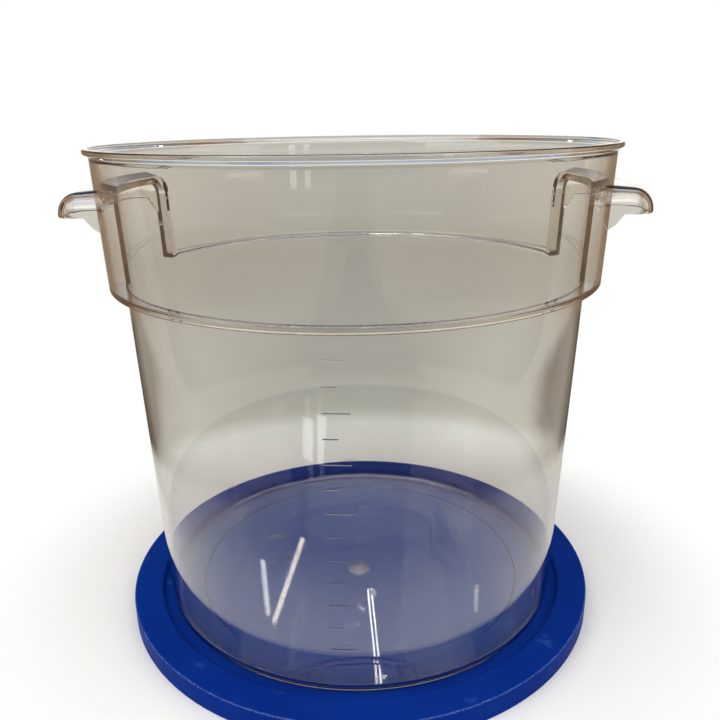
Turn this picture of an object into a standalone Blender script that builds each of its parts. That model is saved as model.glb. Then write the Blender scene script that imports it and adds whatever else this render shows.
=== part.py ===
# Round food storage container standing in its own press-on lid.
# Metres, +Z up. The origin is where the axis meets the surface that the lid lies on,
# and the two ear handles point along +X and -X.

import math

import bmesh
import bpy

# Body: a tapered round wall on a flat floor. Its heights are measured from its own foot.
base_radius = 0.1406
body_height = 0.2285
body_flare = 0.0079
wall = 0.0028
floor_thickness = 0.0032
base_corner = 0.007
floor_corner = 0.0048
foot_width = 0.016
foot_lift = 0.0008
gate_radius = 0.007
gate_depth = 0.0006

# Band: the wider upper part, set out over the body on a flat step, with the rim flange on top.
band_height = 0.0825
band_flare = 0.0028
step_width = 0.0096
step_corner = 0.0012
ledge_corner = 0.0015
rim_overhang = 0.0032
rim_thickness = 0.0026
rim_slope = 0.002
rim_edge = 0.0012
rim_root = 0.0015
mouth_chamfer = 0.003
mouth_chamfer_height = 0.0055
mouth_corner = 0.006

# Ear handles: a shelf that falls a little outwards, with a down-turned lip over a finger well
# that is open below.
ear_half_angle = math.radians(18.6)
ear_drop = 0.0245
ear_fall = 0.002
ear_reach = 0.0229
ear_edge = 0.0115
lip_height = 0.0153
lip_chamfer = 0.0012
gusset_reach = 0.0086
gusset_drop = 0.0095
gusset_bend_reach_share = 0.5
gusset_bend_height_share = 0.36
shoulder_foot_rise = 0.001
shoulder_rise = 0.0043

# Capacity scale: raised strokes at equal steps of volume up the body.
scale_steps = 14
scale_top = 0.213
scale_angle = math.radians(-91)
stroke_length = 0.015
short_stroke_share = 0.55
stroke_height = 0.0009
stroke_relief = 0.0004

# Lid: a ring shaped like an upturned channel round a sunken panel.
lid_height = 0.0143
lid_wall = 0.0024
recess_depth = 0.005
recess_clearance = 0.0077
recess_slope = 0.0016
recess_corner = 0.0012
lid_edge = 0.0009
skirt_edge = 0.0005
lid_root = 0.0006
rim_clearance = 0.0014
snap_clearance = 0.0003
snap_grip = 0.0007
snap_width = 0.0026
seal_clearance = 0.0003
seal_land = 0.0018
seal_width = 0.0016

# Fits and making.
seat_gap = 0.0003
overrun = 0.01
weld_distance = 0.000001
round_steps = 80
half_step = math.pi / round_steps
ear_steps = 13
stroke_steps = 2
edge_steps = 5
arc_sag = 0.0002
fillet_side_share = 0.48
smooth_angle = math.radians(30)

# Heights and radii that follow from the sizes above.
container_height = body_height + band_height
body_top_radius = base_radius + body_flare
band_foot_radius = body_top_radius + step_width
band_top_radius = band_foot_radius + band_flare
rim_radius = band_top_radius + rim_overhang
mouth_radius = band_top_radius - wall
ear_top = container_height - ear_drop
ear_bottom = ear_top - lip_height
gusset_foot = ear_bottom - gusset_drop
ledge_top = body_height + wall
panel_top = lid_height - recess_depth
seat_height = panel_top + seat_gap


def body_radius(height):
    return base_radius + body_flare * height / body_height


def band_radius(height):
    return band_foot_radius + band_flare * (height - body_height) / band_height


ear_radius = band_radius(ear_top) + ear_reach
ear_wall_angle = wall / band_radius(ear_bottom)
ear_outer_half_angle = ear_half_angle + ear_wall_angle


# Outlines

def fillet_points(before, corner, after, radius):
    """Points of the arc that rounds a corner, held to a share of either side."""
    to_before = (before[0] - corner[0], before[1] - corner[1])
    to_after = (after[0] - corner[0], after[1] - corner[1])
    length_before = math.hypot(*to_before)
    length_after = math.hypot(*to_after)
    to_before = (to_before[0] / length_before, to_before[1] / length_before)
    to_after = (to_after[0] / length_after, to_after[1] / length_after)
    cosine = to_before[0] * to_after[0] + to_before[1] * to_after[1]
    half_angle = math.acos(max(-1, min(1, cosine))) / 2
    longest_reach = fillet_side_share * min(length_before, length_after)
    reach = min(radius / math.tan(half_angle), longest_reach)
    radius = reach * math.tan(half_angle)
    middle = (to_before[0] + to_after[0], to_before[1] + to_after[1])
    middle_length = math.hypot(*middle)
    centre_reach = radius / math.sin(half_angle)
    centre = (corner[0] + middle[0] / middle_length * centre_reach,
              corner[1] + middle[1] / middle_length * centre_reach)
    start = (corner[0] + to_before[0] * reach, corner[1] + to_before[1] * reach)
    end = (corner[0] + to_after[0] * reach, corner[1] + to_after[1] * reach)
    start_angle = math.atan2(start[1] - centre[1], start[0] - centre[0])
    end_angle = math.atan2(end[1] - centre[1], end[0] - centre[0])
    sweep = (end_angle - start_angle + math.pi) % (2 * math.pi) - math.pi
    widest_step = 2 * math.acos(1 - min(1, arc_sag / radius))
    count = math.ceil(abs(sweep) / widest_step)
    angles = [start_angle + sweep * step / count for step in range(count + 1)]
    return [(centre[0] + radius * math.cos(angle), centre[1] + radius * math.sin(angle))
            for angle in angles]


def rounded(corners):
    """Outline points from corners given as (radius from the axis, height, fillet radius)."""
    points = []
    for index, (radius, height, fillet) in enumerate(corners):
        before = corners[index - 1][:2]
        after = corners[(index + 1) % len(corners)][:2]
        if fillet:
            points += fillet_points(before, (radius, height), after, fillet)
        else:
            points.append((radius, height))
    return points


# Solids

def material(name, colour, roughness, transmission=0):
    made = bpy.data.materials.new(name)
    made.use_nodes = True
    shader = made.node_tree.nodes["Principled BSDF"]
    shader.inputs["Base Color"].default_value = (*colour, 1)
    shader.inputs["Roughness"].default_value = roughness
    shader.inputs["Metallic"].default_value = 0
    shader.inputs["Transmission Weight"].default_value = transmission
    return made


def object_from(name, bm, parent=None):
    """An object from a finished bmesh, with its faces turned out and its round faces smooth."""
    bmesh.ops.recalc_face_normals(bm, faces=bm.faces)
    mesh = bpy.data.meshes.new(name)
    bm.to_mesh(mesh)
    bm.free()
    mesh.shade_smooth()
    mesh.set_sharp_from_angle(angle=smooth_angle)
    made = bpy.data.objects.new(name, mesh)
    bpy.context.scene.collection.objects.link(made)
    made.parent = parent
    return made


def spun(outline, start_angle, sweep, steps, closed):
    """A bmesh of an outline turned about the Z axis from one angle through a sweep."""
    bm = bmesh.new()
    points = [(radius * math.cos(start_angle), radius * math.sin(start_angle), height)
              for radius, height in outline]
    verts = [bm.verts.new(point) for point in points]
    edges = [bm.edges.new(pair) for pair in zip(verts, verts[1:])]
    if closed:
        edges.append(bm.edges.new((verts[-1], verts[0])))
    full_turn = sweep >= 2 * math.pi
    bmesh.ops.spin(bm, geom=verts + edges, cent=(0, 0, 0), axis=(0, 0, 1), angle=sweep,
                   steps=steps, use_merge=full_turn)
    bmesh.ops.remove_doubles(bm, verts=bm.verts, dist=weld_distance)
    return bm


def turned(name, outline, parent=None, start_angle=0):
    """A round solid from an outline that starts and ends on the axis, or that is a ring."""
    ring = all(radius > 0 for radius, height in outline)
    bm = spun(outline, start_angle, 2 * math.pi, round_steps, ring)
    return object_from(name, bm, parent)


def sector(outline, middle_angle, half_angle, steps):
    """A bmesh of a ring outline turned through part of a turn, with both ends closed."""
    bm = spun(outline, middle_angle - half_angle, 2 * half_angle, steps, True)
    bmesh.ops.holes_fill(bm, edges=[edge for edge in bm.edges if edge.is_boundary])
    return bm


def outer_side(outer, bottom, top, edge, inset):
    """The outer side of a block's section up and over its rounded edge, drawn in by an inset."""
    angles = [math.pi / 2 * step / edge_steps for step in range(edge_steps + 1)]
    arc = [(outer - edge + (edge - inset) * math.cos(angle),
            top - edge + (edge - inset) * math.sin(angle)) for angle in angles]
    return [(outer - inset, bottom)] + arc


def rounded_block(section, outer, middle_angle, half_angle, edge):
    """A bmesh of a section swept round the axis, whose two ends are rounded like its edge."""
    angles = [math.pi / 2 * step / edge_steps for step in range(edge_steps + 1)]
    end_stations = [(half_angle - edge * (1 - math.cos(angle)) / outer,
                     edge * (1 - math.sin(angle))) for angle in angles]
    straight = end_stations[-1][0]
    stations = [(-turn, inset) for turn, inset in end_stations]
    stations += [(straight * (2 * step / ear_steps - 1), 0) for step in range(1, ear_steps)]
    stations += list(reversed(end_stations))

    bm = bmesh.new()
    rings = []
    for turn, inset in stations:
        cosine = math.cos(middle_angle + turn)
        sine = math.sin(middle_angle + turn)
        rings.append([bm.verts.new((radius * cosine, radius * sine, height))
                      for radius, height in section(inset)])
    for ring, following in zip(rings, rings[1:]):
        for index in range(len(ring)):
            bm.faces.new((ring[index - 1], ring[index], following[index], following[index - 1]))
    bm.faces.new(rings[0])
    bm.faces.new(rings[-1])
    bmesh.ops.remove_doubles(bm, verts=bm.verts, dist=weld_distance)
    return bm


def helper(made):
    """Mark a shape that only cuts or adds to another, so that it isn't part of the model."""
    made.hide_render = True
    made.display_type = "WIRE"
    return made


def combine(target, other, operation):
    modifier = target.modifiers.new(other.name, "BOOLEAN")
    modifier.operation = operation
    modifier.solver = "EXACT"
    modifier.object = other


# Container

def body_outline():
    """Outer shape of the body, which runs on up behind the finger wells to inside the band."""
    top = ear_top + (container_height - ear_top) / 2
    foot_inner = base_radius - base_corner - foot_width
    return rounded([
        (0, foot_lift + gate_depth, 0),
        (gate_radius, foot_lift + gate_depth, 0),
        (gate_radius + gate_depth, foot_lift, 0),
        (foot_inner, foot_lift, 0),
        (foot_inner + foot_lift, 0, 0),
        (base_radius, 0, base_corner),
        (body_radius(top), top, 0),
        (0, top, 0),
    ])


def body_hollow_outline():
    top = container_height + overrun
    return rounded([
        (0, floor_thickness, 0),
        (body_radius(floor_thickness) - wall, floor_thickness, floor_corner),
        (body_radius(top) - wall, top, 0),
        (0, top, 0),
    ])


def band_outline():
    """Outer shape of the band and the rim flange, as a ring that sinks into the body's wall."""
    inner = body_top_radius - wall / 2
    flange_foot = container_height - rim_thickness - rim_slope
    return rounded([
        (inner, body_height, 0),
        (band_foot_radius, body_height, step_corner),
        (band_radius(flange_foot), flange_foot, rim_root),
        (rim_radius, container_height - rim_thickness, rim_edge),
        (rim_radius, container_height, rim_edge),
        (inner, container_height, 0),
    ])


def band_hollow_outline():
    """Inner shape of the band above the ledge, with the chamfer round the mouth."""
    inner = body_top_radius - wall - overrun
    chamfer_foot = container_height - mouth_chamfer_height
    past_top = 1 + overrun / mouth_chamfer_height
    return rounded([
        (inner, ledge_top, 0),
        (band_radius(ledge_top) - wall, ledge_top, ledge_corner),
        (mouth_radius, chamfer_foot, mouth_corner),
        (mouth_radius + mouth_chamfer * past_top, container_height + overrun, 0),
        (inner, container_height + overrun, 0),
    ])


def ear_section(inset):
    """Section of an ear: shelf and lip, with the gusset that bends down to the band's wall."""
    inner = band_radius(gusset_foot) - wall / 2
    band_side = band_radius(gusset_foot)
    bend_radius = band_side + gusset_reach * gusset_bend_reach_share
    bend_height = gusset_foot + gusset_drop * gusset_bend_height_share
    lip_side = outer_side(ear_radius, ear_bottom + lip_chamfer, ear_top - ear_fall, ear_edge, inset)
    return [
        (inner, ear_top - inset),
        (inner, gusset_foot),
        (band_side, gusset_foot),
        (bend_radius, bend_height),
        (band_side + gusset_reach, ear_bottom),
        (ear_radius - inset - lip_chamfer, ear_bottom),
    ] + lip_side


def well_section(inset):
    """Section of a finger well, from under the step up to the underside of the shelf."""
    inner = body_top_radius - wall - step_width
    bottom = body_height - overrun
    top = ear_top - wall
    return [(inner, top - inset), (inner, bottom)] \
        + outer_side(ear_radius - wall, bottom, top - ear_fall, ear_edge - wall, inset)


def bulge_section(inset):
    """Section of the block that keeps the band's hollow off the back of a finger well.

    Its top rises towards the band's wall, as a sloping shoulder.
    """
    inner = body_top_radius - wall - overrun - step_width
    bottom = ledge_top - overrun
    top = ear_top + shoulder_rise
    return [
        (band_radius(top) - wall, top - inset),
        (body_top_radius - wall, ear_top + shoulder_foot_rise - inset),
        (inner, ear_top + shoulder_foot_rise - inset),
        (inner, bottom),
    ] + outer_side(rim_radius + overrun, bottom, top, ear_edge, inset)


def make_ear(name, angle, parent):
    block = rounded_block(ear_section, ear_radius, angle, ear_outer_half_angle, ear_edge)
    return helper(object_from(name, block, parent))


def make_well(name, angle, parent):
    outer = ear_radius - wall
    block = rounded_block(well_section, outer, angle, ear_half_angle, ear_edge - wall)
    return helper(object_from(name, block, parent))


def make_bulge(name, angle, parent):
    outer = rim_radius + overrun
    block = rounded_block(bulge_section, outer, angle, ear_outer_half_angle, ear_edge)
    return helper(object_from(name, block, parent))


def stroke_mark_height(share):
    """Height at which the body holds this share of its volume up to the top stroke."""
    inner_radius = body_radius(floor_thickness) - wall
    growth = body_flare / body_height
    top_radius = inner_radius + growth * (scale_top - floor_thickness)
    cube = inner_radius ** 3 + share * (top_radius ** 3 - inner_radius ** 3)
    return floor_thickness + (cube ** (1 / 3) - inner_radius) / growth


def make_scale(name, parent):
    """All strokes of the capacity scale, long ones at every second step."""
    bm = bmesh.new()
    for step in range(1, scale_steps + 1):
        height = stroke_mark_height(step / scale_steps)
        radius = body_radius(height)
        length = stroke_length if step % 2 == 0 else stroke_length * short_stroke_share
        half_angle = length / radius / 2
        start_angle = scale_angle - stroke_length / radius / 2 + half_angle
        outline = [
            (radius - wall / 2, height - stroke_height / 2),
            (radius + stroke_relief, height - stroke_height / 2),
            (radius + stroke_relief, height + stroke_height / 2),
            (radius - wall / 2, height + stroke_height / 2),
        ]
        stroke = sector(outline, start_angle, half_angle, stroke_steps)
        mesh = bpy.data.meshes.new(name)
        stroke.to_mesh(mesh)
        stroke.free()
        bm.from_mesh(mesh)
        bpy.data.meshes.remove(mesh)
    return helper(object_from(name, bm, parent))


def make_container():
    """The one-piece container, built up solid and then hollowed from above and from below."""
    container = turned("container", body_outline())
    container.location.z = seat_height
    container.data.materials.append(
        material("clear_polycarbonate", (0.78, 0.76, 0.70), 0.08, transmission=1))

    # The band's flats lie half a step round from the body's, so that no two edges run together.
    band = helper(turned("band_shape", band_outline(), container, half_step))
    band_hollow = helper(turned("band_hollow", band_hollow_outline(), container, half_step))
    for side, angle in (("right", 0), ("left", math.pi)):
        combine(band, make_ear("ear_shape_" + side, angle, container), "UNION")
        combine(band, make_well("finger_well_" + side, angle, container), "DIFFERENCE")
        combine(band_hollow, make_bulge("well_back_" + side, angle, container), "DIFFERENCE")

    combine(container, band, "UNION")
    combine(container, make_scale("capacity_scale", container), "UNION")
    combine(container, helper(turned("body_hollow", body_hollow_outline(), container)),
            "DIFFERENCE")
    combine(container, band_hollow, "DIFFERENCE")
    return container


# Lid

def lid_outline():
    """Section of the lid, from the middle of its panel over the ring and back underneath."""
    recess_radius = base_radius + recess_clearance
    skirt_inner = rim_radius + rim_clearance
    lid_radius = skirt_inner + lid_wall
    ring_underside = lid_height - lid_wall
    bead_inner = rim_radius - snap_grip
    bead_top = ring_underside - rim_thickness - snap_clearance
    seal_outer = mouth_radius - seal_clearance
    seal_inner = seal_outer - seal_width
    seal_bottom = ring_underside - mouth_chamfer_height - seal_land
    panel_underside = panel_top - lid_wall
    return rounded([
        (0, panel_top, 0),
        (recess_radius - recess_slope, panel_top, recess_corner),
        (recess_radius, lid_height, recess_corner),
        (lid_radius, lid_height, lid_edge),
        (lid_radius, 0, skirt_edge),
        (skirt_inner, 0, skirt_edge),
        (skirt_inner, bead_top - snap_width, 0),
        (bead_inner, bead_top - snap_width / 2, 0),
        (skirt_inner, bead_top, 0),
        (skirt_inner, ring_underside, lid_root),
        (seal_outer, ring_underside, lid_root),
        (seal_outer, seal_bottom, skirt_edge),
        (seal_inner, seal_bottom, skirt_edge),
        (seal_inner, ring_underside, lid_root),
        (recess_radius + lid_wall, ring_underside, lid_root),
        (recess_radius + lid_wall - recess_slope, panel_underside, lid_root),
        (0, panel_underside, 0),
    ])


def make_lid():
    lid = turned("lid", lid_outline())
    lid.data.materials.append(material("blue_polyethylene", (0.004, 0.024, 0.31), 0.45))
    return lid


def clear_scene():
    for existing in list(bpy.data.objects):
        bpy.data.objects.remove(existing, do_unlink=True)


clear_scene()
make_lid()
make_container()
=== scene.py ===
import math
import bpy
from mathutils import Matrix, Vector


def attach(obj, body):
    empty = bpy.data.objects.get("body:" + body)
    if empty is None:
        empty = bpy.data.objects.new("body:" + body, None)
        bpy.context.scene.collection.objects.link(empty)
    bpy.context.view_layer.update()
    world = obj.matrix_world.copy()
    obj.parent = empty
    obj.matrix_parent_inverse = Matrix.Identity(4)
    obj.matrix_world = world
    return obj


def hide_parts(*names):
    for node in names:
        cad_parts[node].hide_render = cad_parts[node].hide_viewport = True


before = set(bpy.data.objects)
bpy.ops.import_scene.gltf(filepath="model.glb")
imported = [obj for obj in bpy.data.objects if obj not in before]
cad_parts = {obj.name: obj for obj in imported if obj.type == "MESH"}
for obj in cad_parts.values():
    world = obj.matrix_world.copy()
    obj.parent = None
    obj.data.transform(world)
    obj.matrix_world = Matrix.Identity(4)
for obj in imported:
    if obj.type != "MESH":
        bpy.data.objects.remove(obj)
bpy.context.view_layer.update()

# how close a point has to be to count as being at a place: metres, and radians for endAngle
near = {
    "weld": 0.000005, "outlineEnd": 0.00001, "outlineCorner": 0.00002, "plane": 0.0001,
    "endAngle": 0.0005, "lipStart": 0.0005, "ledgeHeight": 0.00002, "ledgeRadius": 0.0002,
    "ledgeWeld": 0.00001, "sheetEdge": 0.001,
}
drawing = {
    "startSize": 0.001,  # plane that is merged to the first point of an outline
    "sideShare": 0.48,  # most of a side that one rounding may take
    "cutPast": 0.01,  # how far a cutting shape runs out of what it cuts
}
shading = {"smoothUnder": math.radians(32), "faceWeight": 100}
white = (1.0, 1.0, 1.0)


# small helpers for modelling by hand in code

def deselectAll():
    for ob in bpy.context.selected_objects:
        ob.select_set(False)


def workOn(ob):
    deselectAll()
    ob.select_set(True)
    bpy.context.view_layer.objects.active = ob


def editMode(kind="VERT"):
    bpy.ops.object.mode_set(mode="EDIT")
    bpy.ops.mesh.select_mode(type=kind)


def objectMode():
    bpy.ops.object.mode_set(mode="OBJECT")


def editAll(ob):
    workOn(ob)
    editMode()
    bpy.ops.mesh.select_all(action="SELECT")


def pickVerts(ob, wanted):
    # leaves the object in edit mode with only the wanted points selected
    workOn(ob)
    editMode("VERT")
    bpy.ops.mesh.select_all(action="DESELECT")
    objectMode()
    for vert in ob.data.vertices:
        vert.select = wanted(vert.co)
    editMode("VERT")


def pickEdges(ob, wanted):
    workOn(ob)
    editMode("EDGE")
    bpy.ops.mesh.select_all(action="DESELECT")
    objectMode()
    points = ob.data.vertices
    for edge in ob.data.edges:
        edge.select = wanted(points[edge.vertices[0]].co, points[edge.vertices[1]].co)
    editMode("EDGE")


def moveMesh(ob, step):
    editAll(ob)
    bpy.ops.transform.translate(value=step)
    objectMode()


def turnSelected(angle):
    # with no window the operator turns the other way, hence the minus
    bpy.ops.transform.rotate(value=-angle, orient_axis="Z", center_override=(0, 0, 0))


def spinSelected(steps, angle):
    bpy.ops.mesh.spin(steps=steps, angle=angle, center=(0, 0, 0), axis=(0, 0, 1))


def closeMesh():
    # merges the seam and the poles and turns the faces outwards
    bpy.ops.mesh.select_all(action="SELECT")
    bpy.ops.mesh.remove_doubles(threshold=near["weld"])
    bpy.ops.mesh.normals_make_consistent(inside=False)
    objectMode()


def apart(co, corner):
    return math.hypot(co.x - corner[0], co.z - corner[1])


def drawOutline(name, corners, arcSteps, closed=False):
    # chain of edges in the XZ plane from (radius, height, rounding), each corner bevelled by itself
    deselectAll()
    bpy.ops.mesh.primitive_plane_add(size=drawing["startSize"],
                                     location=(corners[0][0], 0, corners[0][1]))
    ob = bpy.context.object
    ob.name = ob.data.name = name
    bpy.ops.object.transform_apply(location=True, rotation=False, scale=False)
    editAll(ob)
    bpy.ops.mesh.merge(type="CENTER")
    for before, after in zip(corners, corners[1:]):
        step = (after[0] - before[0], 0, after[1] - before[1])
        bpy.ops.mesh.extrude_vertices_move(TRANSFORM_OT_translate={"value": step})
    if closed:
        pickVerts(ob, lambda co: min(apart(co, corners[0]), apart(co, corners[-1])) < near["outlineEnd"])
        bpy.ops.mesh.edge_face_add()
    for index, corner in enumerate(corners):
        rounding = corner[2]
        if not rounding:
            continue
        here = Vector(corner[:2])
        toBefore = Vector(corners[index - 1][:2]) - here
        toAfter = Vector(corners[(index + 1) % len(corners)][:2]) - here
        reach = rounding / math.tan(toBefore.angle(toAfter) / 2)
        reach = min(reach, drawing["sideShare"] * toBefore.length, drawing["sideShare"] * toAfter.length)
        pickVerts(ob, lambda co: apart(co, corner) < near["outlineCorner"])
        bpy.ops.mesh.bevel(offset=reach, segments=arcSteps, affect="VERTICES")
    objectMode()
    return ob


def spinRound(ob, steps, startAngle=0):
    # turns the outline once round the Z axis
    editAll(ob)
    if startAngle:
        turnSelected(startAngle)
    spinSelected(steps, 2 * math.pi)
    closeMesh()
    return ob


def combine(target, other, how):
    modifier = target.modifiers.new(other.name, "BOOLEAN")
    modifier.operation = how
    modifier.solver = "EXACT"
    modifier.object = other
    workOn(target)
    bpy.ops.object.modifier_apply(modifier=modifier.name)
    bpy.data.objects.remove(other, do_unlink=True)


def smooth(ob):
    # the large flat faces keep their own direction, the small bend faces take up the turn
    workOn(ob)
    bpy.ops.object.shade_smooth_by_angle(angle=shading["smoothUnder"])
    weighted = ob.modifiers.new("weighted", "WEIGHTED_NORMAL")
    weighted.mode = "FACE_AREA"
    weighted.weight = shading["faceWeight"]
    weighted.keep_sharp = True
    bpy.ops.object.modifier_apply(modifier=weighted.name)


# the container: metres, with its foot at height 0 until the last step lifts it onto the lid

body = {
    "footRadius": 0.1406, "height": 0.2285, "flare": 0.0079, "wall": 0.0028, "floor": 0.0032,
    "cornerOuter": 0.007, "cornerInner": 0.0048,
    "footWidth": 0.016, "footLift": 0.0008, "footRoundTop": 0.0012, "footRoundLow": 0.0004,
    "standsAt": 0.0096, "roundSteps": 256, "arcSteps": 7,
}
band = {
    "height": 0.0825, "flare": 0.0028, "step": 0.0096, "stepCorner": 0.0012,
    "ledgeCorner": 0.0015, "ledgeRound": 0.0018, "ledgeSteps": 4,
    "rimReach": 0.0032, "rimThick": 0.0026, "rimSlope": 0.002, "rimEdge": 0.0011, "rimRoot": 0.0015,
    "mouthChamfer": 0.003, "mouthDrop": 0.0055, "mouthCorner": 0.006,
}
ear = {
    "halfAngle": math.radians(18.6), "drop": 0.0245, "fall": 0.002, "reach": 0.0229, "edge": 0.0115,
    "lip": 0.0153, "lipRound": 0.0012, "lipSteps": 3, "gussetReach": 0.0086, "gussetDrop": 0.0095,
    "bendReach": 0.5, "bendHeight": 0.36, "shoulderFoot": 0.001, "shoulder": 0.0043,
    "endRoom": 1.04, "spinSteps": 28, "roundSteps": 8,
}
scaleMarks = {
    "steps": 14, "top": 0.213, "angle": math.radians(-91), "long": 0.015, "shortShare": 0.55,
    "thick": 0.0008, "relief": 0.00035, "round": 0.0003, "roundSteps": 2, "spinSteps": 6,
}
gateMark = {
    "place": (0.0, -0.013), "rings": (0.0012, 0.0043, 0.0066), "width": 0.0009, "relief": 0.0006,
    "roundShare": 0.7, "arcSteps": 3, "roundSteps": 72, "frostReach": 0.0075, "frostFade": 1.1,
}

topHeight = body["height"] + band["height"]
bodyTop = body["footRadius"] + body["flare"]
bandFoot = bodyTop + band["step"]
bandTop = bandFoot + band["flare"]
rimRadius = bandTop + band["rimReach"]
mouthRadius = bandTop - body["wall"]
ledgeTop = body["height"] + body["wall"]
earTop = topHeight - ear["drop"]
earBottom = earTop - ear["lip"]
gussetFoot = earBottom - ear["gussetDrop"]


def bodyRadius(height):
    return body["footRadius"] + body["flare"] * height / body["height"]


def bandRadius(height):
    return bandFoot + band["flare"] * (height - body["height"]) / band["height"]


earRadius = bandRadius(earTop) + ear["reach"]
endWallAngle = body["wall"] / bandRadius(earBottom)


def makeBodySolid():
    top = earTop + (topHeight - earTop) / 2
    footInner = body["footRadius"] - body["cornerOuter"] - body["footWidth"]
    lift = body["footLift"]
    corners = [
        (0, lift, 0), (footInner, lift, body["footRoundTop"]),
        (footInner + lift, 0, body["footRoundLow"]), (body["footRadius"], 0, body["cornerOuter"]),
        (bodyRadius(top), top, 0), (0, top, 0),
    ]
    return spinRound(drawOutline("containerShell", corners, body["arcSteps"]), body["roundSteps"])


def makeGateRing(ringRadius):
    # a low raised ring on the inside of the floor, off the middle
    half, floor, tall = gateMark["width"] / 2, body["floor"], gateMark["relief"]
    rounding = half * gateMark["roundShare"]
    corners = [(ringRadius - half, floor - tall, 0), (ringRadius + half, floor - tall, 0),
               (ringRadius + half, floor + tall, rounding), (ringRadius - half, floor + tall, rounding)]
    ring = drawOutline("gateRing", corners, gateMark["arcSteps"], closed=True)
    spinRound(ring, gateMark["roundSteps"])
    moveMesh(ring, (*gateMark["place"], 0))
    return ring


def makeBodyHollow():
    floor, wall = body["floor"], body["wall"]
    top = topHeight + drawing["cutPast"]
    corners = [(0, floor, 0), (bodyRadius(floor) - wall, floor, body["cornerInner"]),
               (bodyRadius(top) - wall, top, 0), (0, top, 0)]
    hollow = spinRound(drawOutline("bodyHollow", corners, body["arcSteps"]), body["roundSteps"])
    # what is taken out of the hollow stays on the floor as the rings of the gate mark
    for ringRadius in gateMark["rings"]:
        combine(hollow, makeGateRing(ringRadius), "DIFFERENCE")
    return hollow


def makeBandSolid():
    # turned by half a step, so that its points don't meet those of the body
    inner = bodyTop - body["wall"] / 2
    flangeFoot = topHeight - band["rimThick"] - band["rimSlope"]
    corners = [
        (inner, body["height"], 0), (bandFoot, body["height"], band["stepCorner"]),
        (bandRadius(flangeFoot), flangeFoot, band["rimRoot"]),
        (rimRadius, topHeight - band["rimThick"], band["rimEdge"]),
        (rimRadius, topHeight, band["rimEdge"]), (inner, topHeight, 0),
    ]
    outline = drawOutline("bandSolid", corners, body["arcSteps"], closed=True)
    return spinRound(outline, body["roundSteps"], math.pi / body["roundSteps"])


def makeBandHollow():
    past = drawing["cutPast"]
    inner = bodyTop - body["wall"] - past
    pastTop = 1 + past / band["mouthDrop"]
    corners = [
        (inner, ledgeTop, 0), (bandRadius(ledgeTop) - body["wall"], ledgeTop, band["ledgeCorner"]),
        (mouthRadius, topHeight - band["mouthDrop"], band["mouthCorner"]),
        (mouthRadius + band["mouthChamfer"] * pastTop, topHeight + past, 0),
        (inner, topHeight + past, 0),
    ]
    outline = drawOutline("bandHollow", corners, body["arcSteps"], closed=True)
    return spinRound(outline, body["roundSteps"], math.pi / body["roundSteps"])


def roundedBlock(name, section, outer, top, halfAngle, edge, middle):
    # a section spun round part of a turn: long first and last steps leave room for the big bevels
    ob = drawOutline(name, [(radius, height, 0) for radius, height in section], 1, closed=True)
    endTurn = edge * ear["endRoom"] / min(radius for radius, height in section)
    editAll(ob)
    bpy.ops.mesh.edge_face_add()
    turnSelected(middle + halfAngle)
    for steps, turn in ((1, endTurn), (ear["spinSteps"], 2 * halfAngle - 2 * endTurn), (1, endTurn)):
        spinSelected(steps, turn)
    closeMesh()

    def atEnd(co):
        turn = math.remainder(math.atan2(co.y, co.x) - middle, 2 * math.pi)
        return abs(abs(turn) - halfAngle) < near["endAngle"]

    def onOuter(co):
        return abs(math.hypot(co.x, co.y) - outer) < near["plane"]

    def onTop(co):
        return co.z > top - near["plane"]

    def rounded(a, b):
        alongTop = onTop(a) and onTop(b)
        alongOuter = onOuter(a) and onOuter(b)
        atOneEnd = atEnd(a) and atEnd(b)
        return (alongTop and alongOuter) or (atOneEnd and (alongTop or alongOuter))

    pickEdges(ob, rounded)
    bpy.ops.mesh.bevel(offset=edge, segments=ear["roundSteps"], affect="EDGES", clamp_overlap=False)
    objectMode()
    return ob


def makeEar(name, middle):
    # the solid handle: a lip with a falling top and a bent gusset under it
    side = bandRadius(gussetFoot)
    inner, gussetStart = side - body["wall"] / 2, side + ear["gussetReach"]
    outerTop = earTop - ear["fall"]
    section = [(inner, earTop), (inner, gussetFoot), (side, gussetFoot),
               (side + ear["gussetReach"] * ear["bendReach"],
                gussetFoot + ear["gussetDrop"] * ear["bendHeight"]),
               (gussetStart, earBottom), (earRadius, earBottom), (earRadius, outerTop)]
    block = roundedBlock(name, section, earRadius, outerTop, ear["halfAngle"] + endWallAngle,
                         ear["edge"], middle)

    def underLip(co):
        outside = math.hypot(co.x, co.y) > gussetStart + near["lipStart"]
        return abs(co.z - earBottom) < near["plane"] and outside

    pickEdges(block, lambda a, b: underLip(a) and underLip(b))
    bpy.ops.mesh.bevel(offset=ear["lipRound"], segments=ear["lipSteps"], affect="EDGES")
    objectMode()
    return block


def makeWell(name, middle):
    # the finger room inside a handle, open downwards
    inner = bodyTop - body["wall"] - band["step"]
    outer, top = earRadius - body["wall"], earTop - body["wall"]
    bottom, outerTop = body["height"] - drawing["cutPast"], top - ear["fall"]
    section = [(inner, top), (inner, bottom), (outer, bottom), (outer, outerTop)]
    return roundedBlock(name, section, outer, outerTop, ear["halfAngle"], ear["edge"] - body["wall"],
                        middle)


def makeWellBack(name, middle):
    # taken out of the band's hollow, so that the finger room keeps a back wall
    past = drawing["cutPast"]
    inner = bodyTop - body["wall"] - past - band["step"]
    outer, bottom = rimRadius + past, ledgeTop - past
    foot, shoulder = earTop + ear["shoulderFoot"], earTop + ear["shoulder"]
    section = [(inner, foot), (inner, bottom), (outer, bottom), (outer, shoulder),
               (bandRadius(shoulder) - body["wall"], shoulder), (bodyTop - body["wall"], foot)]
    return roundedBlock(name, section, outer, foot, ear["halfAngle"] + endWallAngle, ear["edge"],
                        middle)


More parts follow.
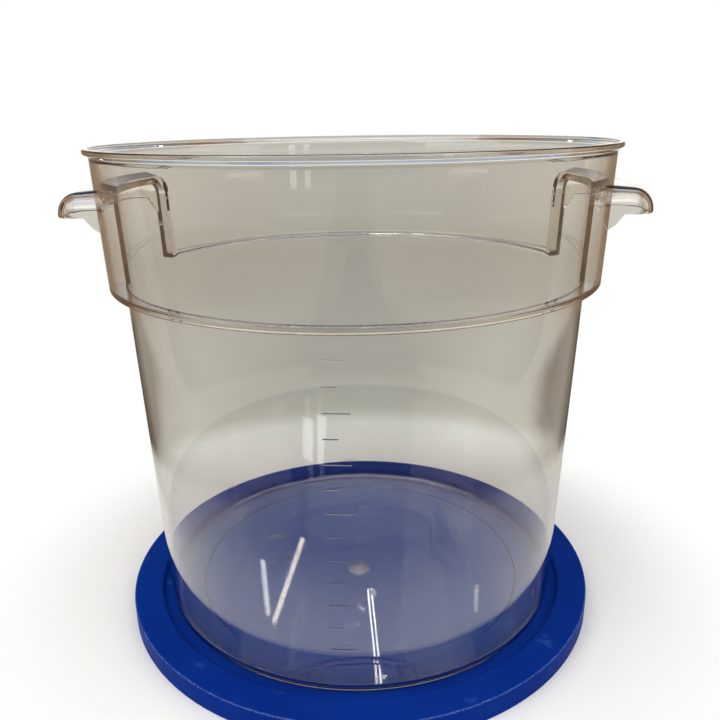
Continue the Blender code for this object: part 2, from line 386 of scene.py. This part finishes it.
def strokeHeight(share):
    # height at which the body holds this share of its volume up to the top stroke
    growth = body["flare"] / body["height"]
    inner = bodyRadius(body["floor"]) - body["wall"]
    top = inner + growth * (scaleMarks["top"] - body["floor"])
    radius = (inner ** 3 + share * (top ** 3 - inner ** 3)) ** (1 / 3)
    return body["floor"] + (radius - inner) / growth


def makeScale():
    # raised strokes up the front, a short one between every two long ones
    half = scaleMarks["thick"] / 2
    strokes = []
    for step in range(1, scaleMarks["steps"] + 1):
        height = strokeHeight(step / scaleMarks["steps"])
        radius = bodyRadius(height)
        length = scaleMarks["long"] * (1 if step % 2 == 0 else scaleMarks["shortShare"])
        inside, outside = radius - body["wall"] / 2, radius + scaleMarks["relief"]
        corners = [(inside, height - half, 0), (outside, height - half, scaleMarks["round"]),
                   (outside, height + half, scaleMarks["round"]), (inside, height + half, 0)]
        ob = drawOutline("stroke", corners, scaleMarks["roundSteps"], closed=True)
        editAll(ob)
        bpy.ops.mesh.edge_face_add()
        # the long and short strokes start in line on their left
        turnSelected(scaleMarks["angle"] - scaleMarks["long"] / radius / 2 + length / radius)
        spinSelected(scaleMarks["spinSteps"], length / radius)
        closeMesh()
        strokes.append(ob)
    workOn(strokes[0])
    for ob in strokes:
        ob.select_set(True)
    bpy.ops.object.join()
    return strokes[0]


def makeContainer():
    shell = makeBodySolid()
    combine(shell, makeScale(), "UNION")
    ring = makeBandSolid()
    hollow = makeBandHollow()
    for side, middle in (("Right", 0), ("Left", math.pi)):
        combine(ring, makeEar("ear" + side, middle), "UNION")
        combine(ring, makeWell("well" + side, middle), "DIFFERENCE")
        combine(hollow, makeWellBack("wellBack" + side, middle), "DIFFERENCE")
    combine(shell, ring, "UNION")
    combine(shell, makeBodyHollow(), "DIFFERENCE")
    combine(shell, hollow, "DIFFERENCE")

    # the inner corner where the ledge of the step meets the body
    corner = bodyRadius(ledgeTop) - body["wall"]

    def onCorner(co):
        atRadius = abs(math.hypot(co.x, co.y) - corner) < near["ledgeRadius"]
        return abs(co.z - ledgeTop) < near["ledgeHeight"] and atRadius

    pickEdges(shell, lambda a, b: onCorner(a) and onCorner(b))
    bpy.ops.mesh.bevel(offset=band["ledgeRound"], segments=band["ledgeSteps"], affect="EDGES",
                       clamp_overlap=False)
    bpy.ops.mesh.select_all(action="SELECT")
    bpy.ops.mesh.remove_doubles(threshold=near["ledgeWeld"])
    objectMode()
    moveMesh(shell, (0, 0, body["standsAt"]))
    return shell


# the lid: its clearances are to the container's foot, rim and mouth

lid = {
    "height": 0.0143, "wall": 0.0024, "recess": 0.005, "recessClearance": 0.0077,
    "recessSlope": 0.0016, "recessCorner": 0.0012, "edge": 0.0009, "skirtEdge": 0.0005,
    "root": 0.0006, "rimClearance": 0.0014, "beadClearance": 0.0003, "beadGrip": 0.0007,
    "beadWidth": 0.0026, "beadRound": 0.0004, "sealClearance": 0.0003, "sealLand": 0.0018,
    "sealWidth": 0.0016, "roundSteps": 256, "arcSteps": 5,
}


def makeLid():
    wall, root = lid["wall"], lid["root"]
    recess = body["footRadius"] + lid["recessClearance"]
    panel = lid["height"] - lid["recess"]
    skirt = rimRadius + lid["rimClearance"]
    under = lid["height"] - wall
    beadTop = under - band["rimThick"] - lid["beadClearance"]
    sealOuter = mouthRadius - lid["sealClearance"]
    sealInner = sealOuter - lid["sealWidth"]
    sealFoot = under - band["mouthDrop"] - lid["sealLand"]
    corners = [
        (0, panel, 0), (recess - lid["recessSlope"], panel, lid["recessCorner"]),
        (recess, lid["height"], lid["recessCorner"]), (skirt + wall, lid["height"], lid["edge"]),
        (skirt + wall, 0, lid["skirtEdge"]), (skirt, 0, lid["skirtEdge"]),
        (skirt, beadTop - lid["beadWidth"], 0),
        (rimRadius - lid["beadGrip"], beadTop - lid["beadWidth"] / 2, lid["beadRound"]),
        (skirt, beadTop, 0), (skirt, under, root), (sealOuter, under, root),
        (sealOuter, sealFoot, lid["skirtEdge"]), (sealInner, sealFoot, lid["skirtEdge"]),
        (sealInner, under, root), (recess + wall, under, root),
        (recess + wall - lid["recessSlope"], panel - wall, root), (0, panel - wall, 0),
    ]
    return spinRound(drawOutline("lidShell", corners, lid["arcSteps"]), lid["roundSteps"])


# small helpers for node trees

def nodesOf(material):
    material.use_nodes = True
    tree = material.node_tree
    return tree, tree.nodes, tree.nodes["Principled BSDF"]


def objectPlace(tree):
    return tree.nodes.new("ShaderNodeTexCoord").outputs["Object"]


def partsOf(tree, vector):
    node = tree.nodes.new("ShaderNodeSeparateXYZ")
    tree.links.new(vector, node.inputs[0])
    return node.outputs


def mathNode(tree, operation, *values):
    # each value is a number or the socket that gives it
    node = tree.nodes.new("ShaderNodeMath")
    node.operation = operation
    for socket, value in zip(node.inputs, values):
        if isinstance(value, (int, float)):
            socket.default_value = value
        else:
            tree.links.new(value, socket)
    return node.outputs[0]


def rangeNode(tree, value, lowest, highest, first=0.0, last=1.0):
    # a soft change from first to last while the value goes from lowest to highest
    node = tree.nodes.new("ShaderNodeMapRange")
    node.interpolation_type = "SMOOTHSTEP"
    tree.links.new(value, node.inputs["Value"])
    for name, setting in (("From Min", lowest), ("From Max", highest), ("To Min", first),
                          ("To Max", last)):
        if isinstance(setting, (int, float)):
            node.inputs[name].default_value = setting
        else:
            tree.links.new(setting, node.inputs[name])
    return node.outputs["Result"]


def rampNode(tree, value, stops, reach):
    # colours at stops that are given in the value's own measure, up to reach
    node = tree.nodes.new("ShaderNodeValToRGB")
    elements = node.color_ramp.elements
    while len(elements) < len(stops):
        elements.new(0.5)  # each gets its place below
    for element, (place, colour) in zip(elements, stops):
        element.position = place / reach
        element.color = (*colour, 1)
    tree.links.new(mathNode(tree, "DIVIDE", value, reach), node.inputs["Fac"])
    return node.outputs["Color"]


def colourMix(tree, share, first, second):
    # first and second are colours or the sockets that give them; 6, 7 and 2 are the colour sockets
    node = tree.nodes.new("ShaderNodeMix")
    node.data_type = "RGBA"
    tree.links.new(share, node.inputs[0])
    for socket, value in ((node.inputs[6], first), (node.inputs[7], second)):
        if isinstance(value, tuple):
            socket.default_value = (*value, 1)
        else:
            tree.links.new(value, socket)
    return node.outputs[2]


def shaderMix(tree, share, first, second):
    node = tree.nodes.new("ShaderNodeMixShader")
    tree.links.new(share, node.inputs[0])
    tree.links.new(first, node.inputs[1])
    tree.links.new(second, node.inputs[2])
    return node.outputs[0]


def bumpNode(tree, height, strength, distance, normal=None):
    node = tree.nodes.new("ShaderNodeBump")
    node.inputs["Strength"].default_value = strength
    node.inputs["Distance"].default_value = distance
    tree.links.new(height, node.inputs["Height"])
    if normal:
        tree.links.new(normal, node.inputs["Normal"])
    return node.outputs["Normal"]


def seenShare(tree, ray):
    # 1 for rays that show a surface: from the camera, in reflections and through clear plastic
    share = mathNode(tree, "MAXIMUM", ray["Is Camera Ray"], ray["Is Glossy Ray"])
    return mathNode(tree, "MAXIMUM", share, ray["Is Transmission Ray"])


# wear and unevenness of moulded plastic: masks and heights that both materials use

surface = {
    "cloudScale": 14.0, "cloudDetail": 3, "grainScale": 1500.0, "grainDetail": 2,
    # hair-thin lines in three directions, each broken up into patches
    "scratchStretch": (60.0, 60.0, 1500.0), "scratchDetail": 1, "scratchRange": (0.68, 0.74),
    "scratchTurns": ((0.05, 0.03, 0.0), (1.45, 0.1, 0.4), (0.7, 0.5, 1.1)),
    "patchScale": 60.0, "patchDetail": 2, "patchRange": (0.54, 0.66),
    "speckScale": 55.0, "speckSize": 0.02, "speckCore": 0.6, "speckShare": 0.035,
}


def makeSurfaceGroup():
    group = bpy.data.node_groups.new("mouldedSurface", "ShaderNodeTree")
    group.interface.new_socket(name="Place", in_out="INPUT", socket_type="NodeSocketVector")
    for name in ("Cloud", "Grain", "Scratches", "Specks"):
        group.interface.new_socket(name=name, in_out="OUTPUT", socket_type="NodeSocketFloat")
    nodes, links = group.nodes, group.links
    place = nodes.new("NodeGroupInput").outputs["Place"]
    out = nodes.new("NodeGroupOutput")

    def noise(scale, detail, source=place):
        node = nodes.new("ShaderNodeTexNoise")
        node.inputs["Scale"].default_value = scale
        node.inputs["Detail"].default_value = detail
        links.new(source, node.inputs["Vector"])
        return node.outputs["Fac"]

    def stretched(turn):
        node = nodes.new("ShaderNodeMapping")
        node.inputs["Scale"].default_value = surface["scratchStretch"]
        node.inputs["Rotation"].default_value = turn
        links.new(place, node.inputs["Vector"])
        return node.outputs["Vector"]

    links.new(noise(surface["cloudScale"], surface["cloudDetail"]), out.inputs["Cloud"])
    links.new(noise(surface["grainScale"], surface["grainDetail"]), out.inputs["Grain"])

    patches = rangeNode(group, noise(surface["patchScale"], surface["patchDetail"]),
                        *surface["patchRange"])
    lines = None
    for turn in surface["scratchTurns"]:
        thin = rangeNode(group, noise(1.0, surface["scratchDetail"], stretched(turn)),
                         *surface["scratchRange"])
        lines = thin if lines is None else mathNode(group, "MAXIMUM", lines, thin)
    links.new(mathNode(group, "MULTIPLY", lines, patches), out.inputs["Scratches"])

    # a dot in the middle of a few of the cells
    cells = nodes.new("ShaderNodeTexVoronoi")
    cells.inputs["Scale"].default_value = surface["speckScale"]
    links.new(place, cells.inputs["Vector"])
    dots = rangeNode(group, cells.outputs["Distance"], surface["speckSize"],
                     surface["speckSize"] * surface["speckCore"])
    tint = nodes.new("ShaderNodeSeparateColor")
    links.new(cells.outputs["Color"], tint.inputs[0])
    chosen = mathNode(group, "GREATER_THAN", tint.outputs[0], 1 - surface["speckShare"])
    links.new(mathNode(group, "MULTIPLY", dots, chosen), out.inputs["Specks"])
    return group


def surfaceOf(tree, group):
    node = tree.nodes.new("ShaderNodeGroup")
    node.node_tree = group
    tree.links.new(objectPlace(tree), node.inputs["Place"])
    return node.outputs


clearLook = {
    "ior": 1.585, "absorbColour": (0.72, 0.62, 0.5), "absorbDensity": 60.0,
    "lampTint": (0.97, 0.97, 0.96), "facingBlend": 0.5,
    # the edge tint is painted shade along the outline, where the wall is seen edge on
    "faceTint": (0.985, 0.985, 0.985), "edgeShadeTint": (0.5, 0.4, 0.32), "edgeStart": 0.82, "edgeEnd": 1.0,
    "roughness": 0.004, "hazyRoughness": 0.012, "hazeRange": (0.35, 0.7),
    "scratchRoughness": 0.16, "frostedRoughness": 0.35, "speckTint": (0.25, 0.22, 0.2),
    "waveStrength": 0.02, "waveDepth": 0.0004, "scratchStrength": 0.05, "scratchDepth": 0.00003,
}


def makeClearPlastic(surfaceGroup):
    material = bpy.data.materials.new("clearPolycarbonate")
    tree, nodes, shader = nodesOf(material)
    shader.inputs["IOR"].default_value = clearLook["ior"]
    shader.inputs["Transmission Weight"].default_value = 1.0
    absorb = nodes.new("ShaderNodeVolumeAbsorption")
    absorb.inputs["Color"].default_value = (*clearLook["absorbColour"], 1)
    absorb.inputs["Density"].default_value = clearLook["absorbDensity"]
    output = nodes["Material Output"]
    tree.links.new(absorb.outputs["Volume"], output.inputs["Volume"])

    # painted shade: the wall turns brown where it is seen edge on, darkening its outline as a longer
    # path through the tinted wall would
    facing = nodes.new("ShaderNodeLayerWeight")
    facing.inputs["Blend"].default_value = clearLook["facingBlend"]
    tint = nodes.new("ShaderNodeValToRGB")
    tint.color_ramp.elements[0].position = clearLook["edgeStart"]
    tint.color_ramp.elements[0].color = (*clearLook["faceTint"], 1)
    tint.color_ramp.elements[1].position = clearLook["edgeEnd"]
    tint.color_ramp.elements[1].color = (*clearLook["edgeShadeTint"], 1)
    tree.links.new(facing.outputs["Facing"], tint.inputs["Fac"])

    # a few dark specks, and a frosted disc at the gate mark
    marks = surfaceOf(tree, surfaceGroup)
    colour = colourMix(tree, marks["Specks"], tint.outputs["Color"], clearLook["speckTint"])
    toMark = nodes.new("ShaderNodeVectorMath")
    toMark.operation = "DISTANCE"
    tree.links.new(objectPlace(tree), toMark.inputs[0])
    toMark.inputs[1].default_value = (*gateMark["place"], body["standsAt"] + body["floor"])
    frosted = rangeNode(tree, toMark.outputs["Value"], gateMark["frostReach"] * gateMark["frostFade"],
                        gateMark["frostReach"])
    colour = colourMix(tree, frosted, colour, white)
    tree.links.new(colour, shader.inputs["Base Color"])

    # uneven gloss, hair scratches and the slight waves of a moulded wall
    gloss = rangeNode(tree, marks["Cloud"], *clearLook["hazeRange"], clearLook["roughness"],
                      clearLook["hazyRoughness"])
    gloss = rangeNode(tree, marks["Scratches"], 0.0, 1.0, gloss, clearLook["scratchRoughness"])
    gloss = rangeNode(tree, frosted, 0.0, 1.0, gloss, clearLook["frostedRoughness"])
    tree.links.new(gloss, shader.inputs["Roughness"])
    waves = bumpNode(tree, marks["Cloud"], clearLook["waveStrength"], clearLook["waveDepth"])
    scratched = bumpNode(tree, marks["Scratches"], clearLook["scratchStrength"],
                         clearLook["scratchDepth"], waves)
    tree.links.new(scratched, shader.inputs["Normal"])

    # lamps reach what is behind the wall
    ray = nodes.new("ShaderNodeLightPath")
    see = nodes.new("ShaderNodeBsdfTransparent")
    see.inputs["Color"].default_value = (*clearLook["lampTint"], 1)
    tree.links.new(shaderMix(tree, ray.outputs["Is Shadow Ray"], shader.outputs[0], see.outputs[0]),
                   output.inputs["Surface"])
    return material


blueLook = {
    "colour": (0.0013, 0.0205, 0.205), "paleColour": (0.0020, 0.027, 0.235), "cloudRange": (0.3, 0.7),
    "smoothest": 0.34, "roughest": 0.47, "gloss": 0.015, "grainStrength": 0.1, "grainDepth": 0.00012,
    # the paler colour inside the container's foot is painted light
    "paintedLightFrom": 0.120, "paintedLightTo": 0.141, "paintedLightColour": (0.003, 0.037, 0.30),
    "scratchColour": (0.012, 0.05, 0.27),
    # the pale edge line is partly wear and partly a painted highlight
    "wearAndGlintColour": (0.10, 0.17, 0.42), "wearAndGlintWidth": 0.0011, "wearAndGlintDepth": 0.0009,
    "wearAndGlintGrain": (0.42, 0.62), "wearAndGlintCore": 3,  # palest on a third of its width
}


def makeBluePlastic(surfaceGroup):
    material = bpy.data.materials.new("bluePolyethylene")
    tree, nodes, shader = nodesOf(material)
    shader.inputs["Specular IOR Level"].default_value = blueLook["gloss"]
    marks = surfaceOf(tree, surfaceGroup)
    colour = colourMix(tree, rangeNode(tree, marks["Cloud"], *blueLook["cloudRange"]),
                       blueLook["colour"], blueLook["paleColour"])
    parts = partsOf(tree, objectPlace(tree))
    radius = mathNode(tree, "POWER", parts["X"], 2.0)
    radius = mathNode(tree, "MULTIPLY_ADD", parts["Y"], parts["Y"], radius)
    radius = mathNode(tree, "SQRT", radius)

    # painted light: the panel is paler inside the container's foot, standing in for light that reaches
    # it through the clear container
    paintedLight = rangeNode(tree, radius, blueLook["paintedLightTo"], blueLook["paintedLightFrom"])
    colour = colourMix(tree, paintedLight, colour, blueLook["paintedLightColour"])
    colour = colourMix(tree, marks["Scratches"], colour, blueLook["scratchColour"])
    colour = colourMix(tree, marks["Specks"], colour, blueLook["scratchColour"])

    # a pale line along the outer top edge: wear where it rubs, and a painted highlight on that edge
    edgeRadius = rimRadius + lid["rimClearance"] + lid["wall"]
    wearAndGlint = rangeNode(tree, radius, edgeRadius - blueLook["wearAndGlintWidth"],
                     edgeRadius - blueLook["wearAndGlintWidth"] / blueLook["wearAndGlintCore"])
    nearTop = rangeNode(tree, parts["Z"], lid["height"] - blueLook["wearAndGlintDepth"],
                        lid["height"] - blueLook["wearAndGlintDepth"] / blueLook["wearAndGlintCore"])
    wearAndGlint = mathNode(tree, "MULTIPLY", wearAndGlint, nearTop)
    wearAndGlint = mathNode(tree, "MULTIPLY", wearAndGlint, rangeNode(tree, marks["Grain"], *blueLook["wearAndGlintGrain"]))
    colour = colourMix(tree, wearAndGlint, colour, blueLook["wearAndGlintColour"])
    tree.links.new(colour, shader.inputs["Base Color"])
    gloss = rangeNode(tree, marks["Cloud"], *blueLook["cloudRange"], blueLook["smoothest"],
                      blueLook["roughest"])
    tree.links.new(gloss, shader.inputs["Roughness"])
    tree.links.new(bumpNode(tree, marks["Grain"], blueLook["grainStrength"], blueLook["grainDepth"]),
                   shader.inputs["Normal"])
    return material


# the room around the object

view = {
    # metres and degrees; the middle of the lens lies a few pixels below that of the picture
    "place": (0.0281, -0.4880, 0.3358), "pitch": 19.253, "yaw": -3.055, "roll": -0.845,
    "focalPixels": 731.76, "imagePixels": 720, "sensor": 36.0, "centreDownPixels": 12,
}


def addCamera():
    data = bpy.data.cameras.new("camera")
    camera = bpy.data.objects.new("camera", data)
    bpy.context.scene.collection.objects.link(camera)
    pitch, yaw, roll = (math.radians(view[key]) for key in ("pitch", "yaw", "roll"))
    forward = Vector((math.sin(yaw) * math.cos(pitch), math.cos(yaw) * math.cos(pitch),
                      -math.sin(pitch)))
    right = forward.cross(Vector((0, 0, 1))).normalized()
    up = right.cross(forward)
    rolledRight = math.cos(roll) * right + math.sin(roll) * up
    rolledUp = -math.sin(roll) * right + math.cos(roll) * up
    turn = Matrix((rolledRight, rolledUp, -forward)).transposed()
    camera.matrix_world = Matrix.Translation(view["place"]) @ turn.to_4x4()
    data.sensor_width = view["sensor"]
    data.lens = view["focalPixels"] * view["sensor"] / view["imagePixels"]
    data.shift_y = view["centreDownPixels"] / view["imagePixels"]
    bpy.context.scene.camera = camera


# a pale sheet: flat floor, soft bend, upright backdrop

sheetShape = {
    "width": 7.0, "front": -2.2, "back": 2.7, "top": 2.9, "bend": 0.8, "bendSteps": 24, "drop": 0.0002,
    "colour": 0.9, "roughness": 0.8, "gloss": 0.1,
    # within the first radius it is plain and takes the shadow, past the second it is lit by itself
    "plainInside": 0.185, "whiteOutside": 0.30,
}
sheetMirror = {
    # shade of the sheet in clear plastic and in reflections, by metres from the object
    "reach": 4.0,
    "shades": (
        (0.3, (0.77, 0.80, 0.75)), (0.34, (0.54, 0.55, 0.485)), (0.4, (0.50, 0.51, 0.455)),
        (0.6, (0.50, 0.505, 0.465)), (1.4, (0.455, 0.46, 0.41)), (2.3, (0.58, 0.57, 0.52)),
        (2.72, (0.60, 0.59, 0.53)), (2.77, (1.05, 1.02, 0.95)), (2.93, (1.05, 1.02, 0.95)),
        (3.03, (0.64, 0.71, 0.79)), (3.2, (0.37, 0.44, 0.51)), (3.5, (0.28, 0.385, 0.49)),
        (4.0, (0.24, 0.33, 0.44)),
    ),
    # the bright part is a wedge that opens towards the backdrop: brighter at its sides, and dark
    # in front of the object
    "wedgeStart": -0.49, "wedgeSkew": -0.0533, "narrowest": 0.2,
    "floorSpread": 0.295, "backSpread": 0.43, "spreadFrom": 0.9, "spreadTo": 1.5,
    "sidesFrom": 0.35, "sidesTo": 0.8, "sidesGain": 1.2,
    "frontFrom": -0.05, "frontTo": -0.3, "frontShade": 0.12,
    # shades past the bright part, by share of its half width, then near the object and far off
    "dimFrom": 0.98, "dimTo": 1.15, "sideReach": 4.0,
    "sideShades": (
        (1.2, (0.12, 0.095, 0.07)), (1.5, (0.19, 0.15, 0.115)), (2.3, (0.40, 0.35, 0.29)),
        (3.2, (0.50, 0.42, 0.34)),
    ),
    "nearFrom": 0.31, "nearTo": 0.37, "nearColour": (0.74, 0.72, 0.67),
    "farFrom": 0.8, "farTo": 1.0, "farColour": (0.35, 0.245, 0.16),
}


def makeSheet():
    width, back = sheetShape["width"], sheetShape["back"]
    deselectAll()
    bpy.ops.mesh.primitive_plane_add(size=width, location=(0, back - width / 2, -sheetShape["drop"]))
    ob = bpy.context.object
    ob.name = ob.data.name = "paleSheet"
    bpy.ops.object.transform_apply(location=True, rotation=False, scale=False)
    pickVerts(ob, lambda co: co.y < 0)
    bpy.ops.transform.translate(value=(0, sheetShape["front"] - (back - width), 0))

    def atBack(a, b):
        return min(a.y, b.y) > back - near["sheetEdge"]

    pickEdges(ob, atBack)
    bpy.ops.mesh.extrude_edges_move(TRANSFORM_OT_translate={"value": (0, 0, sheetShape["top"])})
    pickEdges(ob, lambda a, b: atBack(a, b) and max(a.z, b.z) < near["sheetEdge"])
    bpy.ops.mesh.bevel(offset=sheetShape["bend"], segments=sheetShape["bendSteps"], affect="EDGES")
    objectMode()
    smooth(ob)
    return ob


def mirroredSheet(tree, place, distance):
    # colour of the sheet where it isn't seen straight from the camera
    shades = rampNode(tree, distance, sheetMirror["shades"], sheetMirror["reach"])
    parts = partsOf(tree, place)
    depth = mathNode(tree, "SUBTRACT", parts["Y"], sheetMirror["wedgeStart"])
    sideways = mathNode(tree, "MULTIPLY_ADD", depth, -sheetMirror["wedgeSkew"], parts["X"])
    sideways = mathNode(tree, "ABSOLUTE", sideways)
    spread = rangeNode(tree, depth, sheetMirror["spreadFrom"], sheetMirror["spreadTo"],
                       sheetMirror["floorSpread"], sheetMirror["backSpread"])
    halfWidth = mathNode(tree, "MULTIPLY", depth, spread)
    halfWidth = mathNode(tree, "MAXIMUM", halfWidth, sheetMirror["narrowest"])
    across = mathNode(tree, "DIVIDE", sideways, halfWidth)
    gain = rangeNode(tree, across, sheetMirror["sidesFrom"], sheetMirror["sidesTo"], 1.0,
                     sheetMirror["sidesGain"])
    front = rangeNode(tree, parts["Y"], sheetMirror["frontTo"], sheetMirror["frontFrom"],
                      sheetMirror["frontShade"], 1.0)
    gain = mathNode(tree, "MULTIPLY", gain, front)
    brighter = tree.nodes.new("ShaderNodeVectorMath")
    brighter.operation = "SCALE"
    tree.links.new(shades, brighter.inputs[0])
    tree.links.new(gain, brighter.inputs["Scale"])

    sides = rampNode(tree, across, sheetMirror["sideShades"], sheetMirror["sideReach"])
    pastNear = rangeNode(tree, distance, sheetMirror["nearFrom"], sheetMirror["nearTo"])
    sides = colourMix(tree, pastNear, sheetMirror["nearColour"], sides)
    farOff = rangeNode(tree, distance, sheetMirror["farFrom"], sheetMirror["farTo"])
    sides = colourMix(tree, farOff, sides, sheetMirror["farColour"])
    dimShare = rangeNode(tree, across, sheetMirror["dimFrom"], sheetMirror["dimTo"])
    return colourMix(tree, dimShare, brighter.outputs[0], sides)


def makeSheetMaterial():
    material = bpy.data.materials.new("paleSheet")
    tree, nodes, shader = nodesOf(material)
    shader.inputs["Base Color"].default_value = (sheetShape["colour"],) * 3 + (1,)
    shader.inputs["Roughness"].default_value = sheetShape["roughness"]
    shader.inputs["Specular IOR Level"].default_value = sheetShape["gloss"]
    place = objectPlace(tree)
    length = nodes.new("ShaderNodeVectorMath")
    length.operation = "LENGTH"
    tree.links.new(place, length.inputs[0])
    distance = length.outputs["Value"]
    mirrored = mirroredSheet(tree, place, distance)

    ray = nodes.new("ShaderNodeLightPath").outputs
    glow = nodes.new("ShaderNodeEmission")
    tree.links.new(colourMix(tree, ray["Is Camera Ray"], mirrored, white), glow.inputs["Color"])
    away = rangeNode(tree, distance, sheetShape["plainInside"], sheetShape["whiteOutside"])
    share = mathNode(tree, "MULTIPLY", away, seenShare(tree, ray))
    tree.links.new(shaderMix(tree, share, shader.outputs[0], glow.outputs[0]),
                   nodes["Material Output"].inputs["Surface"])
    return material


def addStage():
    sheet = makeSheet()
    sheet.data.materials.append(makeSheetMaterial())


# white to the camera, a warm room with a dark front in reflections, an even light on all else

surroundings = {
    "evenLight": (0.20, 0.195, 0.185), "sideColour": (0.30, 0.165, 0.08),
    "frontColour": (0.05, 0.05, 0.055), "frontFrom": -0.1, "frontTo": -0.6,
    "topColour": (0.66, 0.67, 0.68), "topFrom": 0.8, "topTo": 0.93,
}


def addWorld():
    world = bpy.data.worlds.new("room")
    bpy.context.scene.world = world
    world.use_nodes = True
    tree = world.node_tree
    nodes = tree.nodes
    even = nodes["Background"]
    even.inputs["Color"].default_value = (*surroundings["evenLight"], 1)
    ray = nodes.new("ShaderNodeLightPath").outputs
    seen = nodes.new("ShaderNodeBackground")
    parts = partsOf(tree, nodes.new("ShaderNodeTexCoord").outputs["Generated"])
    pastFront = rangeNode(tree, parts["Y"], surroundings["frontTo"], surroundings["frontFrom"])
    mirrored = colourMix(tree, pastFront, surroundings["frontColour"], surroundings["sideColour"])
    towardsTop = rangeNode(tree, parts["Z"], surroundings["topFrom"], surroundings["topTo"])
    mirrored = colourMix(tree, towardsTop, mirrored, surroundings["topColour"])
    tree.links.new(colourMix(tree, ray["Is Camera Ray"], mirrored, white), seen.inputs["Color"])
    tree.links.new(shaderMix(tree, seenShare(tree, ray), even.outputs[0], seen.outputs[0]),
                   nodes["World Output"].inputs["Surface"])


softboxes = {
    # name: place, aim, size, power, colour
    "topSoftbox": ((-0.1, -0.9, 1.8), (0, 0, 0.1), (3.2, 2.4), 40, (1, 0.99, 0.97)),
    "leftSoftbox": ((-1.5, -0.9, 1.1), (0, 0, 0.15), (1.7, 1.7), 13, (1, 0.99, 0.97)),
    "rightSoftbox": ((1.6, -0.4, 1.0), (0, 0, 0.15), (1.5, 1.5), 9, (0.97, 0.98, 1)),
}
brightStrips = {
    # name: one end, other end, width, brightness, colour
    "windowFar": ((1.23, -1.58, 0.23), (1.23, -1.58, 1.15), 0.13, 2.2, (1, 1, 1)),
    "windowNear": ((0.985, -1.74, 0.23), (0.985, -1.74, 1.15), 0.11, 1.8, (1, 1, 1)),
    "tubeBackLeft": ((-0.026, 1.37, 1.4), (-0.080, 1.889, 1.4), 0.0055, 75, (0.93, 0.97, 1)),
    "tubeBackRight": ((-0.012, 1.37, 1.4), (-0.066, 1.889, 1.4), 0.0055, 75, (0.93, 0.97, 1)),
    "paneBack": ((-0.431, 1.673, 1.4), (-0.386, 2.234, 1.4), 0.02, 6, (1, 0.95, 0.82)),
    "gapRight": ((0.351, 1.758, 1.4), (0.373, 1.921, 1.4), 0.015, 3, (1, 1, 1)),
    "gapLeft": ((-0.46, 1.716, 1.4), (-0.546, 2.064, 1.4), 0.018, 5.5, (0.95, 0.98, 1)),
}
mirrorStrips = {
    # the same for strips that show in reflections but not through the clear plastic
    "paneFrontLeft": ((-0.1069, -0.36, 0.0336), (-0.1006, -0.36, 0.076), 0.026, 2.6, (1, 1, 1)),
    "paneFrontRight": ((-0.0721, -0.36, 0.034), (-0.0665, -0.36, 0.0832), 0.018, 2.6, (1, 1, 1)),
}


def areaLamp(name, place, turn, size, power, colour):
    data = bpy.data.lights.new(name, "AREA")
    data.shape = "RECTANGLE"
    data.size, data.size_y = size
    data.energy = power
    data.color = colour
    lamp = bpy.data.objects.new(name, data)
    bpy.context.scene.collection.objects.link(lamp)
    lamp.matrix_world = Matrix.Translation(place) @ turn.to_4x4()
    return lamp


def addSoftbox(name, place, aim, size, power, colour):
    towards = (Vector(aim) - Vector(place)).to_track_quat("-Z", "Y").to_matrix()
    return areaLamp(name, place, towards, size, power, colour)


def addStrip(name, start, end, width, brightness, colour):
    # a long narrow lamp between two points that faces the object, as bright whatever its size
    start, end = Vector(start), Vector(end)
    middle = (start + end) / 2
    along = (end - start).normalized()
    facing = (middle - middle.dot(along) * along).normalized()
    turn = Matrix((along.cross(facing), along, facing)).transposed()
    length = (end - start).length
    power = brightness * width * length * math.pi
    return areaLamp(name, middle, turn, (width, length), power, colour)


print("stage: container")
containerShell = makeContainer()
smooth(containerShell)
containerShell.data.materials.clear()
mouldedSurface = makeSurfaceGroup()
containerShell.data.materials.append(makeClearPlastic(mouldedSurface))
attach(containerShell, "container")
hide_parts("container")

print("stage: lid")
lidShell = makeLid()
smooth(lidShell)
lidShell.data.materials.clear()
lidShell.data.materials.append(makeBluePlastic(mouldedSurface))
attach(lidShell, "lid")
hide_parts("lid")

print("stage: room")
addCamera()
addStage()
addWorld()
for lampName, values in softboxes.items():
    addSoftbox(lampName, *values)
for lampName, values in brightStrips.items():
    addStrip(lampName, *values)
for lampName, values in mirrorStrips.items():
    addStrip(lampName, *values).visible_transmission = False

bpy.context.scene.view_settings.view_transform = "Standard"

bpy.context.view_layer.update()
for piece in (containerShell, lidShell):
    piece.data.calc_loop_triangles()
    print(piece.name, len(piece.data.loop_triangles), "triangles")
